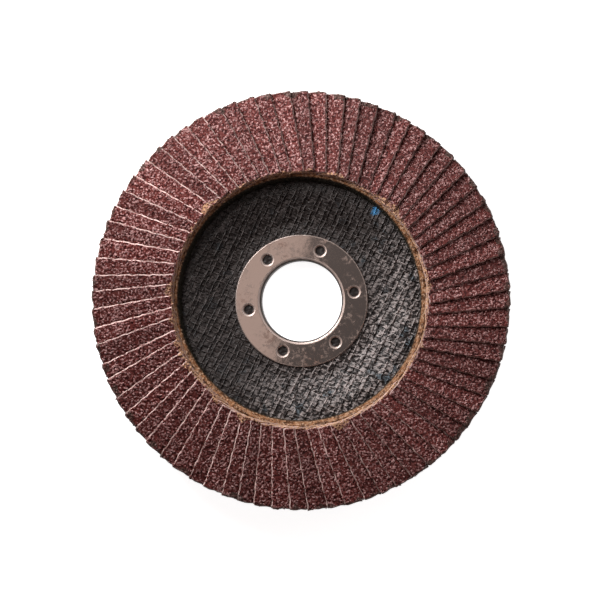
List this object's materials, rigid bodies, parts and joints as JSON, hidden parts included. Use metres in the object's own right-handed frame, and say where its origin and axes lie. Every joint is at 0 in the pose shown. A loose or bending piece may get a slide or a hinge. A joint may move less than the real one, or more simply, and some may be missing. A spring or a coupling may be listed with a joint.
{
  "type": "flap disc",
  "caption": "Round abrasive flap disc for an angle grinder: overlapping maroon cloth flaps on a black glass-fibre plate with a depressed centre and a steel-lined bore.",
  "frame": {"origin": "on the bore's axis, at the rear face of the hub, which the disc rests on", "axes": "+Z along the bore towards the side that grinds, so the flaps face up; +X and +Y in the plane of the disc, with +X along the centre line of the first flap; seen from +Z each flap lies over the next one clockwise"},
  "size_m": [0.1148, 0.1148, 0.0145],
  "materials": {
    "glass_cloth_resin": "black resin over woven glass cloth, semi-gloss",
    "zinc_plated_steel": "pressed sheet steel, zinc plated, satin",
    "amber_epoxy": "cured amber resin, lumpy, semi-gloss",
    "abrasive_cloth": "maroon aluminium-oxide grain on cotton cloth"
  },
  "bodies": {
    "root": {"backing_plate": "glass_cloth_resin", "front_hub_ring": "zinc_plated_steel", "rear_hub_ring": "zinc_plated_steel", "adhesive": "amber_epoxy", "flaps_01": "abrasive_cloth", "flaps_02": "abrasive_cloth", "flaps_03": "abrasive_cloth", "flaps_04": "abrasive_cloth", "flaps_05": "abrasive_cloth", "flaps_06": "abrasive_cloth", "flaps_07": "abrasive_cloth", "flaps_08": "abrasive_cloth", "flaps_09": "abrasive_cloth", "flaps_10": "abrasive_cloth", "flaps_11": "abrasive_cloth", "flaps_12": "abrasive_cloth", "flaps_13": "abrasive_cloth", "flaps_14": "abrasive_cloth", "flaps_15": "abrasive_cloth", "flaps_16": "abrasive_cloth", "flaps_17": "abrasive_cloth", "flaps_18": "abrasive_cloth", "flaps_19": "abrasive_cloth", "flaps_20": "abrasive_cloth", "flaps_21": "abrasive_cloth", "flaps_22": "abrasive_cloth", "flaps_23": "abrasive_cloth", "flaps_24": "abrasive_cloth", "flaps_25": "abrasive_cloth", "flaps_26": "abrasive_cloth", "flaps_27": "abrasive_cloth", "flaps_28": "abrasive_cloth", "flaps_29": "abrasive_cloth", "flaps_30": "abrasive_cloth", "flaps_31": "abrasive_cloth", "flaps_32": "abrasive_cloth", "flaps_33": "abrasive_cloth", "flaps_34": "abrasive_cloth", "flaps_35": "abrasive_cloth", "flaps_36": "abrasive_cloth"}
  },
  "joints": []
}
